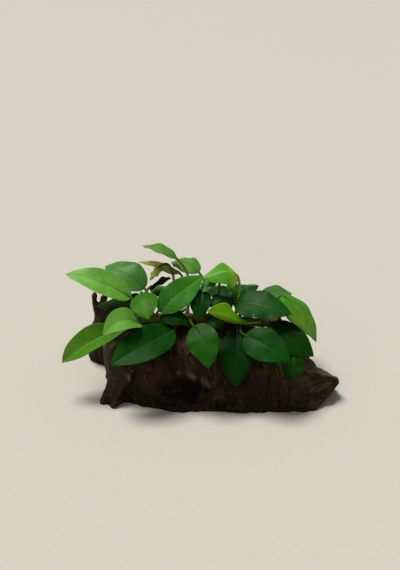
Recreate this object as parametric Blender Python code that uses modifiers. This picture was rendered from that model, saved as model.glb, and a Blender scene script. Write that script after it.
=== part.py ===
"""Anubias nana grown onto a piece of dark driftwood, as a set of separate solids.

+X is the long way of the wood, +Z is up, and the origin lies on the flat underside, below the
middle of the plant. Lengths in the tables are millimetres; MM turns them into Blender's metres.
"""

import math

import bmesh
import bpy
from mathutils import Vector, noise
from mathutils.bvhtree import BVHTree

# ---------------------------------------------------------------- driving dimensions, in mm
MM = 0.001
CLEARANCE = 0.4  # air between pieces that grow against each other

WOOD_VOXEL = 2.0  # grid that merges the trunk and its limbs into one skin
WOOD_TRIANGLES = 1500  # faces left in that skin before the cuts
WOOD_GROUND = 300.0  # side of the block that saws the underside flat
WOOD_LUMPS = ((0.035, 2.6), (0.10, 1.1))  # weathering: waves per mm, height

SNOUT_FORK_X = 70.0  # the right-hand limb starts here
HORN_FORK = (-60.0, 4.0, 31.0)  # the upright limb stands left of, behind and above this
ROOT_FORK = (-48.0, -23.0)  # the front-left limb starts left and in front of this

FORK_REACH = 150.0  # how far a fork's cutting block runs past the wood

CAVE_CENTRE = (-13.0, -52.0, 16.0)
CAVE_RADII = (20.0, 20.0, 12.0)
CAVE_FACETS = (14, 9)  # round the pocket and from its floor to its roof

RHIZOME_RADIUS = 3.6
RHIZOME_TAPER = 0.35  # part of the radius lost at either end
RHIZOME_BEVEL = 3  # roundness of the section
ROOT_RADIUS = 0.9
ROOT_TAPER = 0.55
ROOT_POINTS = 12
ROOT_SWAY = 1.6  # sideways wandering
ROOT_LIFT = 0.9  # from the wood's skin to the near side of a root
SKIN_REACH = 90.0  # farther from the root axis than any of the wood

STALK_RADIUS = 1.25
STALK_NECK = 0.95  # stalk radius where the blade starts
STALK_STATIONS = (1.0, 0.66, 0.33, 0.0)  # from the blade down to the rhizome
STALK_RISE = 0.3  # how straight a stalk leaves the rhizome
STALK_BOW = 0.45  # how far it runs in line with the blade
BLADE_THICKNESS = 1.3
BLADE_BELLY = 0.36  # where a blade is widest, as a part of its length
BLADE_FALLOFF = 0.85  # how fast the outline closes towards the tip
BLADE_SECTION = ((-1, 0), (-0.5, 0.7), (0, 1), (0.5, 0.7), (1, 0), (0.5, -0.7), (0, -1), (-0.5, -0.7))
BLADE_STATIONS = (0.10, 0.24, 0.40, 0.56, 0.72, 0.87)

# The trunk's sections along X: front foot y, then (y, z) of the front shoulder, the crown and
# the back shoulder, then back foot y and the height of the underside.
TRUNK_SECTIONS = (
    (-79, 2, (3, 14), (10, 20), (20, 18), 28, -3),
    (-73, -26, (-20, 28), (2, 39), (24, 31), 36, -3),
    (-60, -37, (-28, 38), (-4, 50), (24, 41), 40, -3),
    (-42, -44, (-34, 44), (-8, 54), (22, 44), 42, -3),
    (-20, -49, (-39, 44), (-9, 55), (20, 44), 42, -3),
    (2, -51, (-42, 41), (-9, 55), (18, 42), 40, -3),
    (22, -51, (-43, 38), (-10, 53), (16, 40), 38, -3),
    (42, -52, (-43, 36), (-10, 51), (12, 37), 33, -3),
    (60, -52, (-42, 34), (-11, 47), (8, 32), 25, -3),
    (76, -52, (-40, 29), (-21, 35), (-3, 23), 12, -3),
    (90, -49, (-38, 26), (-26, 30), (-12, 20), 0, -3),
    (102, -42, (-35, 20), (-27, 24), (-18, 17), -10, 2),
    (110, -34, (-32, 12), (-27, 15), (-22, 11), -19, 5),
)

# Limbs that join the trunk: points (x, y, z, radius) along each.
LIMBS = {
    "horn stem": (
        (-76, 34, -4, 15),
        (-83, 35, 8, 13),
        (-84, 31, 26, 9.5),
        (-83, 27, 42, 7.5),
        (-82, 25, 53, 5),
    ),
    "horn spike": ((-85, 26, 44, 4), (-87, 25, 56, 2.4), (-87, 25, 64, 1.8), (-87, 24, 69, 1.3)),
    "horn prong": ((-80, 25, 46, 6), (-80, 25, 57, 3.6), (-78, 24, 65, 3.0), (-75, 23, 71, 2.0)),
    "back ridge": (
        (-78, 28, 36, 8),
        (-64, 25, 52, 8),
        (-53, 22, 60, 7),
        (-44, 18, 54, 6),
        (-36, 12, 42, 8),
    ),
    "front root, left strand": (
        (-54, -10, 34, 9),
        (-65, -25, 24, 6),
        (-71, -32, 12, 5),
        (-76, -37, -3, 4.5),
    ),
    "front root, right strand": (
        (-44, -14, 32, 9),
        (-55, -28, 26, 7),
        (-64, -36, 12, 6.5),
        (-70, -40, -3, 6.5),
    ),
    "knob on the snout": ((80, -16, 20, 7), (85, -14, 27, 4.5), (87, -13, 32, 2.5)),
    "back stub": ((30, 22, 8, 12), (44, 36, 8, 9), (54, 44, 6, 6)),
}

# Rhizomes creep along the crown of the wood.
RHIZOMES = {
    "rhizome_left": ((-64, -3, 55), (-50, -5, 58.5), (-30, -6, 60), (-10, -6, 60.5), (10, -9.5, 60.5)),
    "rhizome_right": ((5, 0, 59.5), (20, -6, 58.5), (46, -6, 56), (58, -3, 54.5), (66, 0, 55)),
}

# Holding roots, each hugging the wood: the axis it turns about, then x and the angle from
# straight up (positive to the front) where it starts and where it ends.
ROOT_AXIS = (-12.0, 18.0)
ROOTS = {
    "holding_root_1": (-48, 24, -50, 62),
    "holding_root_2": (-12, 26, -4, 62),
    "holding_root_3": (1, 22, 12, 88),
    "holding_root_4": (24, 24, 20, 96),
    "holding_root_5": (54, 26, 60, 84),
    "holding_root_6": (-26, -14, -30, -80),
    "holding_root_7": (-6, -12, 4, -84),
    "holding_root_8": (38, -16, 46, -80),
}

# One row for each leaf. node: x on its rhizome. base, tip: ends of the blade. face: the way
# the upper surface looks. arch, bend: bow of the midrib out of and in the blade, as parts of
# its length. lean: shifts the bow towards the base. fold: degrees that each half is lifted.
# belly: where the blade is widest.
LEAVES = {
    "left_1": dict(
        node=-51, base=(-57, -1, 77), tip=(-107, 8, 92), width=23, face=(0, -0.6, 1),
        arch=0.12, fold=14, tone="fresh",
    ),
    "left_2": dict(
        node=-40.5, base=(-46, 14, 78), tip=(-78, 34, 87), width=27, face=(0.1, -0.5, 1),
        arch=0.16, fold=4, tone="blue",
    ),
    "left_3": dict(
        node=-58, base=(-56, -2, 65), tip=(-83, 3, 66), width=20, face=(0, -0.1, 1),
        arch=0.12, fold=0, tone="deep",
    ),
    "left_4": dict(
        node=-48.5, base=(-46, -2, 79.8), tip=(-40, -26, 68.8), width=23, face=(-0.2, -0.5, 1),
        arch=0.10, fold=-8, tone="mid",
    ),
    "left_5": dict(
        node=-45, base=(-40, 18.6, 76), tip=(-24, 30, 78), width=20, face=(0, 1, 0.8),
        arch=0.06, fold=0, tone="deep",
    ),
    "left_6": dict(
        node=-24, base=(-18, 30, 84), tip=(-50, 34, 91), width=13, face=(0.2, -0.2, 1),
        arch=0.16, fold=-55, tone="old",
    ),
    "left_7": dict(
        node=-55, base=(-47.6, -22, 63.8), tip=(-74.6, -36, 60.8), width=24, face=(-0.2, -0.6, 1),
        arch=0.28, fold=20, tone="fresh",
    ),
    "left_8": dict(
        node=-62, base=(-55, -15, 57), tip=(-108, -30, 33), width=26, face=(-0.2, -0.6, 1),
        arch=0.03, bend=0.05, fold=26, belly=0.56, tone="mid",
    ),
    "left_9": dict(
        node=-20, base=(-33, 27, 90), tip=(-41, 22, 80), width=9, face=(-0.6, -0.6, 1),
        arch=0.10, fold=-20, tone="blue",
    ),
    "front_1": dict(
        node=-22, base=(-22, -28, 58.4), tip=(-67, -56, 46), width=31, face=(-0.1, -0.7, 1),
        arch=0.05, fold=12, belly=0.40, tone="deep",
    ),
    "front_2": dict(
        node=27, base=(29, -26, 57.5), tip=(27, -54, 25), width=28, face=(-0.1, -1, 0.5),
        arch=0.08, fold=8, tone="mid",
    ),
    "front_3": dict(
        node=-6, base=(-4, -32, 65), tip=(6, -56, 43), width=25, face=(-0.1, -1, 0.7),
        arch=0.08, bend=-0.08, fold=0, tone="fresh",
    ),
    "centre_1": dict(
        node=-29, base=(-30, -13, 65), tip=(-8, -20, 61), width=20, face=(0, -0.2, 1),
        arch=0.15, fold=0, tone="deep",
    ),
    "centre_2": dict(
        node=-34, base=(-31, -13, 71), tip=(2, 2, 93), width=23, face=(0.2, -1, 0.9),
        arch=0.06, fold=10, belly=0.40, tone="mid",
    ),
    "centre_3": dict(
        node=12, base=(11.5, 8, 90.7), tip=(2.5, -6, 82.7), width=14, face=(-0.5, -0.6, 1),
        arch=0.05, fold=0, tone="pale",
    ),
    "centre_4": dict(
        node=-3, base=(2, -4, 82), tip=(-2, -20, 66), width=17, face=(-0.1, -1, 0.6),
        arch=0.06, fold=5, tone="deep",
    ),
    "centre_5": dict(
        node=22, base=(25, 3, 73), tip=(7, -13.2, 73), width=16.5, face=(0, -0.4, 1),
        arch=0.20, fold=-12, tone="deep",
    ),
    "centre_6": dict(
        node=31, base=(35, 6, 70), tip=(22, 18, 79), width=14, face=(0.2, -0.8, 1),
        arch=0.05, fold=0, tone="deep",
    ),
    "centre_7": dict(
        node=19, base=(17, -14, 62.5), tip=(4, -20, 60.5), width=13, face=(0, -0.7, 1),
        arch=0.10, fold=0, tone="deep",
    ),
    "top_1": dict(
        node=-10, base=(-20, 25, 99), tip=(-47, 35, 105), width=16, face=(0, 0, 1),
        arch=0.10, fold=5, belly=0.42, tone="blue",
    ),
    "top_2": dict(
        node=3, base=(-2, 24, 87.4), tip=(-24, 42, 87.4), width=21, face=(0.4, -0.5, 1),
        arch=0.18, fold=-5, tone="blue",
    ),
    "top_3": dict(
        node=28, base=(30, 8, 90), tip=(2, -2, 93), width=24, face=(0, -0.6, 1),
        arch=0.24, lean=0.7, fold=-18, belly=0.30, tone="fresh",
    ),
    "young_1": dict(
        node=47, base=(41, -13, 59.2), tip=(8, -24, 73.2), width=27, face=(0, -0.2, 1),
        arch=-0.09, fold=48, belly=0.68, tone="young",
    ),
    "right_1": dict(
        node=36.5, base=(28, -5, 73), tip=(71, -20, 70), width=27, face=(0, -0.6, 1),
        arch=0.10, fold=4, tone="blue",
    ),
    "right_2": dict(
        node=51, base=(52, 15, 68), tip=(76, 29, 65), width=19, face=(0, -0.4, 1),
        arch=0.12, fold=0, tone="deep",
    ),
    "right_3": dict(
        node=61, base=(68, 10, 71), tip=(94, -6, 38), width=24, face=(0.8, -0.5, 1),
        arch=0.12, fold=0, tone="mid",
    ),
    "right_4": dict(
        node=63, base=(66, -10, 70.6), tip=(91.5, -17, 46.4), width=15, face=(0.3, -0.4, 1),
        arch=0.08, fold=0, tone="olive",
    ),
    "right_5": dict(
        node=54, base=(55, -18, 58), tip=(88, -36, 42), width=27, face=(0.2, -0.9, 1),
        arch=0.06, fold=0, tone="deep",
    ),
    "right_6": dict(
        node=33, base=(36, -35, 59), tip=(68, -55, 49), width=27, face=(0, -1.1, 1),
        arch=0.08, fold=4, tone="mid",
    ),
    "right_7": dict(
        node=59, base=(72.5, -36, 43), tip=(68.5, -55, 31), width=19, face=(0, -1, 0.6),
        arch=0.06, fold=0, tone="deep",
    ),
    "right_8": dict(
        node=49, base=(56, -42, 43), tip=(50, -51, 34), width=10, face=(0, -1, 0.6),
        arch=0.05, fold=10, tone="old",
    ),
    "back_1": dict(
        node=-53, base=(-58, 16, 75), tip=(-70, 50, 66), width=24, face=(0, 0.5, 1),
        arch=0.10, fold=4, tone="deep",
    ),
    "back_2": dict(
        node=-27, base=(-30, 22, 66), tip=(-30, 58, 56), width=25, face=(0, 0.5, 1),
        arch=0.12, fold=4, tone="mid",
    ),
    "back_3": dict(
        node=-1, base=(6, 22, 66), tip=(14, 56, 58), width=24, face=(0, 0.5, 1),
        arch=0.12, fold=0, tone="deep",
    ),
    "back_4": dict(
        node=41, base=(38, 22, 70), tip=(40, 50, 62), width=20, face=(0, 0.3, 1),
        arch=0.10, fold=4, tone="deep",
    ),
    "back_5": dict(
        node=65, base=(66, 16, 60), tip=(86, 38, 44), width=20, face=(0.4, 0.4, 1),
        arch=0.12, fold=0, tone="deep",
    ),
    "back_6": dict(
        node=15, base=(13, 14, 69), tip=(37, 25, 65), width=22, face=(0, -0.3, 1),
        arch=0.12, fold=0, tone="deep",
    ),
    "back_7": dict(
        node=-17, base=(-10, 12, 64), tip=(-24, 34, 60), width=20, face=(0, 0, 1),
        arch=0.10, fold=0, tone="deep",
    ),
}

LEAF_TONES = {
    "fresh": (0.07, 0.24, 0.03),
    "mid": (0.025, 0.13, 0.02),
    "blue": (0.02, 0.11, 0.035),
    "deep": (0.008, 0.05, 0.01),
    "pale": (0.10, 0.28, 0.09),
    "young": (0.16, 0.30, 0.01),
    "olive": (0.06, 0.16, 0.015),
    "old": (0.20, 0.16, 0.04),
}


# ---------------------------------------------------------------- scene and materials
def clear_scene():
    for obj in list(bpy.data.objects):
        bpy.data.objects.remove(obj, do_unlink=True)


def new_collection(name):
    collection = bpy.data.collections.new(name)
    bpy.context.scene.collection.children.link(collection)
    return collection


def material(name, colour, roughness):
    made = bpy.data.materials.new(name)
    made.use_nodes = True
    shader = made.node_tree.nodes["Principled BSDF"]
    shader.inputs["Base Color"].default_value = (*colour, 1.0)
    shader.inputs["Roughness"].default_value = roughness
    shader.inputs["Metallic"].default_value = 0.0
    made.diffuse_color = (*colour, 1.0)
    return made


def add_object(name, mesh, collection, finish=None):
    obj = bpy.data.objects.new(name, mesh)
    collection.objects.link(obj)
    if finish:
        mesh.materials.clear()
        mesh.materials.append(finish)
    return obj


def evaluated_mesh(obj):
    """The mesh of an object with its modifiers applied, and the object removed."""
    bpy.context.view_layer.update()
    graph = bpy.context.evaluated_depsgraph_get()
    mesh = bpy.data.meshes.new_from_object(obj.evaluated_get(graph))
    mesh.transform(obj.matrix_world)
    bpy.data.objects.remove(obj, do_unlink=True)
    return mesh


# ---------------------------------------------------------------- lofts and tubes
def ring_loft(name, rings, tip=None):
    """A closed skin over rings of equal length, capped flat, or closed to a point at the end."""
    bm = bmesh.new()
    loops = [[bm.verts.new(point * MM) for point in ring] for ring in rings]
    count = len(rings[0])
    for near, far in zip(loops, loops[1:]):
        for i in range(count):
            j = (i + 1) % count
            bm.faces.new((near[i], near[j], far[j], far[i]))
    bm.faces.new(list(reversed(loops[0])))
    if tip is None:
        bm.faces.new(loops[-1])
    else:
        point = bm.verts.new(tip * MM)
        for i in range(count):
            bm.faces.new((loops[-1][i], loops[-1][(i + 1) % count], point))
    bmesh.ops.recalc_face_normals(bm, faces=bm.faces)
    mesh = bpy.data.meshes.new(name)
    bm.to_mesh(mesh)
    bm.free()
    return mesh


def catmull_rom(points, steps):
    """Points on a smooth curve through the given ones, steps to a span."""
    padded = [points[0] * 2 - points[1], *points, points[-1] * 2 - points[-2]]
    found = []
    for before, start, end, after in zip(padded, padded[1:], padded[2:], padded[3:]):
        for step in range(steps):
            t = step / steps
            found.append(
                0.5
                * (
                    2 * start
                    + (end - before) * t
                    + (2 * before - 5 * start + 4 * end - after) * t**2
                    + (3 * start - before - 3 * end + after) * t**3
                )
            )
    return [*found, points[-1].copy()]


def tube_mesh(name, points, radii, resolution):
    """A round bar along the points, with its end caps welded on."""
    curve = bpy.data.curves.new(name, "CURVE")
    curve.dimensions = "3D"
    curve.bevel_depth = 1.0
    curve.bevel_resolution = resolution
    curve.use_fill_caps = True
    spline = curve.splines.new("POLY")
    spline.points.add(len(points) - 1)
    for spot, point, radius in zip(spline.points, points, radii):
        spot.co = (*(point * MM), 1.0)
        spot.radius = radius * MM
    obj = bpy.data.objects.new(name, curve)
    bpy.context.scene.collection.objects.link(obj)
    mesh = evaluated_mesh(obj)
    bm = bmesh.new()
    bm.from_mesh(mesh)
    bmesh.ops.remove_doubles(bm, verts=bm.verts, dist=1e-6)
    bmesh.ops.recalc_face_normals(bm, faces=bm.faces)
    bm.to_mesh(mesh)
    bm.free()
    return mesh


# ---------------------------------------------------------------- driftwood
def trunk_ring(x, front_foot, front, crown, back, back_foot, under):
    """One closed section: a smooth hump over a flat underside."""
    hump = catmull_rom(
        [
            Vector((x, front_foot, under)),
            Vector((x, *front)),
            Vector((x, *crown)),
            Vector((x, *back)),
            Vector((x, back_foot, under)),
        ],
        3,
    )
    return [*hump, Vector((x, (front_foot + back_foot) / 2, under))]


def merged_wood():
    """The trunk and its limbs as one skin, weathered and thinned out."""
    bm = bmesh.new()
    rings = [trunk_ring(*section) for section in TRUNK_SECTIONS]
    bm.from_mesh(ring_loft("trunk loft", rings))
    for name, stations in LIMBS.items():
        points = catmull_rom([Vector(station[:3]) for station in stations], 3)
        sizes = catmull_rom([Vector((station[3], 0, 0)) for station in stations], 3)
        bm.from_mesh(tube_mesh(name, points, [size.x for size in sizes], 3))
    mesh = bpy.data.meshes.new("driftwood")
    bm.to_mesh(mesh)
    bm.free()
    whole = bpy.data.objects.new("driftwood", mesh)
    bpy.context.scene.collection.objects.link(whole)
    remesh = whole.modifiers.new("one skin", "REMESH")
    remesh.mode = "VOXEL"
    remesh.voxel_size = WOOD_VOXEL * MM
    skin = evaluated_mesh(whole)
    for vertex in skin.vertices:
        spot = vertex.co / MM
        push = sum(noise.noise(spot * waves) * height for waves, height in WOOD_LUMPS)
        vertex.co += vertex.normal * push * MM
    whole = bpy.data.objects.new("driftwood", skin)
    bpy.context.scene.collection.objects.link(whole)
    thin = whole.modifiers.new("fewer faces", "DECIMATE")
    thin.ratio = WOOD_TRIANGLES / (2 * len(skin.polygons))
    return evaluated_mesh(whole)


def block(name, low, high, collection):
    """A box between two corners, used to cut."""
    bm = bmesh.new()
    size = [b - a for a, b in zip(low, high)]
    centre = [(a + b) / 2 for a, b in zip(low, high)]
    bmesh.ops.create_cube(bm, size=1.0)
    bmesh.ops.scale(bm, vec=[side * MM for side in size], verts=bm.verts)
    bmesh.ops.translate(bm, vec=[side * MM for side in centre], verts=bm.verts)
    mesh = bpy.data.meshes.new(name)
    bm.to_mesh(mesh)
    bm.free()
    return hide(add_object(name, mesh, collection))


def hide(cutter):
    cutter.hide_render = True
    cutter.display_type = "WIRE"
    return cutter


def cave_cutter(collection):
    bm = bmesh.new()
    around, upward = CAVE_FACETS
    bmesh.ops.create_uvsphere(bm, u_segments=around, v_segments=upward, radius=1.0)
    bmesh.ops.scale(bm, vec=[radius * MM for radius in CAVE_RADII], verts=bm.verts)
    bmesh.ops.translate(bm, vec=[side * MM for side in CAVE_CENTRE], verts=bm.verts)
    mesh = bpy.data.meshes.new("cave_cutter")
    bm.to_mesh(mesh)
    bm.free()
    return hide(add_object("cave_cutter", mesh, collection))


def boolean(obj, cutter, operation):
    modifier = obj.modifiers.new(f"{operation} {cutter.name}".lower(), "BOOLEAN")
    modifier.operation = operation
    modifier.object = cutter
    modifier.solver = "EXACT"


def make_driftwood(parts, cutters, finish):
    """Four fork pieces cut from one skin, each CLEARANCE from the trunk."""
    whole = bpy.data.objects.new("driftwood", merged_wood())
    bpy.context.scene.collection.objects.link(whole)
    half = WOOD_GROUND / 2
    boolean(whole, block("ground_cutter", (-half, -half, -half), (half, half, 0), cutters), "DIFFERENCE")
    boolean(whole, cave_cutter(cutters), "DIFFERENCE")
    skin = evaluated_mesh(whole)

    far = FORK_REACH
    horn_x, horn_y, horn_z = HORN_FORK
    root_x, root_y = ROOT_FORK
    forks = {
        "driftwood_snout": ((SNOUT_FORK_X, -far, -far), (far, far, far)),
        "driftwood_horn": ((-far, horn_y, horn_z), (horn_x, far, far)),
        "driftwood_front_root": ((-far, -far, -far), (root_x, root_y, far)),
    }
    trunk = add_object("driftwood_trunk", skin, parts, finish)
    for name, (low, high) in forks.items():
        wide_low = [side - CLEARANCE for side in low]
        wide_high = [side + CLEARANCE for side in high]
        boolean(trunk, block(f"{name}_gap", wide_low, wide_high, cutters), "DIFFERENCE")
        limb = add_object(name, skin.copy(), parts, finish)
        boolean(limb, block(f"{name}_space", low, high, cutters), "INTERSECT")
    return skin


# ---------------------------------------------------------------- rhizomes and holding roots
def rhizome_axis(name):
    return catmull_rom([Vector(point) for point in RHIZOMES[name]], 4)


def rhizome_at(x):
    """The point and the direction of the axis where a rhizome passes x."""
    for name in RHIZOMES:
        axis = rhizome_axis(name)
        for near, far in zip(axis, axis[1:]):
            if near.x <= x <= far.x:
                return near.lerp(far, (x - near.x) / (far.x - near.x)), (far - near).normalized()
    raise ValueError(f"no rhizome passes x = {x}")


def make_rhizomes(parts, finish):
    for name in RHIZOMES:
        axis = rhizome_axis(name)
        last = len(axis) - 1
        ends = [abs(2 * i / last - 1) ** 6 for i in range(last + 1)]
        sizes = [RHIZOME_RADIUS * (1 - RHIZOME_TAPER * end) for end in ends]
        mesh = tube_mesh(name, axis, sizes, RHIZOME_BEVEL)
        add_object(name, mesh, parts, finish)


def make_holding_roots(skin, parts, finish):
    """Thin roots that run from the rhizome down over the wood, just off its skin."""
    bm = bmesh.new()
    bm.from_mesh(skin)
    tree = BVHTree.FromBMesh(bm)
    bm.free()
    axis_y, axis_z = ROOT_AXIS
    lift = ROOT_RADIUS + ROOT_LIFT
    for name, (start_x, start_angle, end_x, end_angle) in ROOTS.items():
        points = []
        for step in range(ROOT_POINTS):
            t = step / (ROOT_POINTS - 1)
            angle = math.radians(start_angle + (end_angle - start_angle) * t)
            sway = ROOT_SWAY * math.sin(7 * t + start_x)
            middle = Vector((start_x + (end_x - start_x) * t + sway, axis_y, axis_z))
            outward = Vector((0, -math.sin(angle), math.cos(angle)))
            hit = tree.ray_cast((middle + outward * SKIN_REACH) * MM, -outward)[0]
            points.append(hit / MM + outward * lift)
        sizes = [ROOT_RADIUS * (1 - ROOT_TAPER * i / (ROOT_POINTS - 1)) for i in range(ROOT_POINTS)]
        add_object(name, tube_mesh(name, points, sizes, 1), parts, finish)


# ---------------------------------------------------------------- leaves
def blade_frame(row):
    """Along, side and up directions of a blade, and its length."""
    chord = Vector(row["tip"]) - Vector(row["base"])
    along = chord.normalized()
    face = Vector(row["face"])
    up = (face - along * face.dot(along)).normalized()
    return along, along.cross(up), up, chord.length


def midrib(row, t):
    along, side, up, length = blade_frame(row)
    bow = 4 * t * (1 - t) * (1 + row.get("lean", 0.0) * (1 - 2 * t)) * length
    lift = up * row["arch"] * bow + side * row.get("bend", 0.0) * bow
    return Vector(row["base"]) + along * length * t + lift


def blade_half_width(row, t):
    """An egg-shaped outline with its widest place at the belly and a drawn-out tip."""
    belly = row.get("belly", BLADE_BELLY)
    swell = BLADE_FALLOFF * belly / (1 - belly)
    peak = belly**swell * (1 - belly) ** BLADE_FALLOFF
    return row["width"] / 2 * t**swell * (1 - t) ** BLADE_FALLOFF / peak


def blade_ring(row, t):
    """Eight points round the blade at t: edge, three on top, edge, three below."""
    ahead = midrib(row, min(1.0, t + 0.01)) - midrib(row, max(0.0, t - 0.01))
    along = ahead.normalized()
    up = blade_frame(row)[2]
    up = (up - along * up.dot(along)).normalized()
    side = along.cross(up)
    fold = math.radians(row["fold"])
    half = blade_half_width(row, t)
    rib = BLADE_THICKNESS / 2 * (1 - 0.5 * t)
    ring = []
    for u, level in BLADE_SECTION:
        across = half * u * math.cos(fold)
        lifted = half * abs(u) ** 1.25 * math.sin(fold) + rib * level
        ring.append(midrib(row, t) + side * across + up * lifted)
    return ring


def stalk_rings(row):
    """Round sections from just off the rhizome to the foot of the blade."""
    base = Vector(row["base"])
    spot, rhizome_along = rhizome_at(row["node"])
    out = base - spot
    out = (out - rhizome_along * out.dot(rhizome_along)).normalized()
    start = spot + out * (RHIZOME_RADIUS + CLEARANCE)
    inward = (midrib(row, 0.01) - base).normalized()
    reach = (base - start).length
    handles = (start, start + out * reach * STALK_RISE, base - inward * reach * STALK_BOW, base)

    def bezier(t):
        a, b, c, d = handles
        s = 1 - t
        return a * s**3 + b * 3 * s * s * t + c * 3 * s * t * t + d * t**3

    up = blade_frame(row)[2]
    rings = []
    for t in STALK_STATIONS:
        along = (bezier(min(1.0, t + 0.01)) - bezier(max(0.0, t - 0.01))).normalized()
        up = (up - along * up.dot(along)).normalized()
        side = along.cross(up)
        radius = STALK_RADIUS + (STALK_NECK - STALK_RADIUS) * t
        turns = [math.radians(180 - 45 * i) for i in range(8)]
        ring = [bezier(t) + side * radius * math.cos(a) + up * radius * math.sin(a) for a in turns]
        rings.append(ring)
    rings.reverse()
    return rings


def make_leaves(parts, finishes):
    for name, row in LEAVES.items():
        blades = [blade_ring(row, t) for t in BLADE_STATIONS]
        mesh = ring_loft(f"leaf_{name}", [*stalk_rings(row), *blades], midrib(row, 1.0))
        add_object(f"leaf_{name}", mesh, parts, finishes[row["tone"]])


# ---------------------------------------------------------------- the whole part
def main():
    clear_scene()
    parts = new_collection("anubias_nana_on_driftwood")
    cutters = new_collection("cutters")
    wood = material("driftwood", (0.02, 0.012, 0.008), 0.75)
    rhizome = material("rhizome", (0.12, 0.16, 0.03), 0.5)
    root = material("holding root", (0.05, 0.04, 0.02), 0.7)
    leaves = {tone: material(f"leaf {tone}", colour, 0.35) for tone, colour in LEAF_TONES.items()}
    skin = make_driftwood(parts, cutters, wood)
    make_rhizomes(parts, rhizome)
    make_holding_roots(skin, parts, root)
    make_leaves(parts, leaves)


main()
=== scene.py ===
import math

import bmesh
import bpy
import numpy as np
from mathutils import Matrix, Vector, noise
from mathutils.bvhtree import BVHTree


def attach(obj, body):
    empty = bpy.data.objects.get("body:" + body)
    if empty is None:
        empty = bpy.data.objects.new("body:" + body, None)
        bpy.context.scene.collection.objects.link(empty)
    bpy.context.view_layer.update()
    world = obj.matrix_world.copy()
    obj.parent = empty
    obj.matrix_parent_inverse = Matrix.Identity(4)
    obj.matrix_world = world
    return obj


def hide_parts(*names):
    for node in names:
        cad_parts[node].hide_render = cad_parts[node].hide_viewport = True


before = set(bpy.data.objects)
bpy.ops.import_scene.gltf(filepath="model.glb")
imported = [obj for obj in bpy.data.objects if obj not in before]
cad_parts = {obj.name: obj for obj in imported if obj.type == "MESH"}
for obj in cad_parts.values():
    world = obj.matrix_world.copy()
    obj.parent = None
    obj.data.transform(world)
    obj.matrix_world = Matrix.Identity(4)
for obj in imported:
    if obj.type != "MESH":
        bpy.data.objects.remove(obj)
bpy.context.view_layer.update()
mm = 0.001  # every length in the dictionaries is in millimetres
print("frame loaded:", len(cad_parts), "nodes")


# The room: a pale floor, soft light and the camera.

room = {
    "floorSize": 90000,
    "floorColour": (0.61, 0.575, 0.50),
    "floorGrain": 0.08,  # how much darker its dark grains are
    "skyColour": (0.90, 0.94, 1.0),
    "skyStrength": 0.20,
    # name: the way towards it, how wide it looks in degrees, power, colour
    "lamps": {
        "lampAbove": ((-0.30, 0.14, 1.0), 26, 3.1, (1.0, 0.985, 0.94)),
        "lampFront": ((-0.5, -1.0, 0.9), 60, 0.25, (1.0, 0.98, 0.95)),
    },
    "cameraAim": (0, 0, 86),
    "cameraRise": 25,  # degrees above the floor
    "cameraFar": 700,
    "cameraLens": 56,
    "filmWidth": 36,
}


def lookAt(obj, target):
    obj.rotation_euler = (Vector(target) * mm - obj.location).to_track_quat("-Z", "Y").to_euler()


def makeRoom():
    scene = bpy.context.scene
    scene.view_settings.view_transform = "Standard"
    world = bpy.data.worlds.new("softSky")
    world.use_nodes = True
    sky = world.node_tree.nodes["Background"]
    sky.inputs["Color"].default_value = (*room["skyColour"], 1)
    sky.inputs["Strength"].default_value = room["skyStrength"]
    scene.world = world
    for name, (way, spread, power, colour) in room["lamps"].items():
        lamp = bpy.data.lights.new(name, "SUN")
        lamp.angle = math.radians(spread)
        lamp.energy = power
        lamp.color = colour
        obj = bpy.data.objects.new(name, lamp)
        obj.location = Vector(way)
        scene.collection.objects.link(obj)
        lookAt(obj, (0, 0, 0))
    rise = math.radians(room["cameraRise"])
    back = Vector((0, -math.cos(rise), math.sin(rise)))
    lens = bpy.data.cameras.new("camera")
    lens.lens = room["cameraLens"]
    lens.sensor_width = room["filmWidth"]
    lens.clip_start = 0.01
    camera = bpy.data.objects.new("camera", lens)
    camera.location = (Vector(room["cameraAim"]) + back * room["cameraFar"]) * mm
    scene.collection.objects.link(camera)
    lookAt(camera, room["cameraAim"])
    scene.camera = camera
    half = room["floorSize"] / 2 * mm
    corners = [(-half, -half, 0), (half, -half, 0), (half, half, 0), (-half, half, 0)]
    floor = addPiece("floor", corners, [(0, 1, 2, 3)])
    floor.data.materials.append(floorFinish())


# Small helpers for meshes and for node materials.

def addPiece(name, points, faces, smooth=False):
    mesh = bpy.data.meshes.new(name)
    mesh.from_pydata([tuple(p) for p in points], [], faces)
    if smooth:
        mesh.shade_smooth()
    obj = bpy.data.objects.new(name, mesh)
    bpy.context.scene.collection.objects.link(obj)
    return obj


def bakedMesh(obj):
    # the object's mesh with its modifiers applied; the object goes
    bpy.context.view_layer.update()
    mesh = bpy.data.meshes.new_from_object(obj.evaluated_get(bpy.context.evaluated_depsgraph_get()))
    bpy.data.objects.remove(obj, do_unlink=True)
    return mesh


def pointsOf(mesh):
    flat = np.empty(len(mesh.vertices) * 3)
    mesh.vertices.foreach_get("co", flat)
    return flat.reshape(-1, 3)


def normalsOf(mesh):
    flat = np.empty(len(mesh.vertices) * 3, np.float32)
    mesh.vertex_normals.foreach_get("vector", flat)
    return flat.reshape(-1, 3).astype(float)


def setPoints(mesh, points):
    mesh.vertices.foreach_set("co", np.ascontiguousarray(points, np.float32).reshape(-1))
    mesh.update()


def keepValues(mesh, name, values):
    attribute = mesh.attributes.new(name, "FLOAT", "POINT")
    attribute.data.foreach_set("value", np.ascontiguousarray(values, np.float32))


def keepVectors(mesh, name, values):
    attribute = mesh.attributes.new(name, "FLOAT_VECTOR", "POINT")
    attribute.data.foreach_set("vector", np.ascontiguousarray(values, np.float32).reshape(-1))


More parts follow.
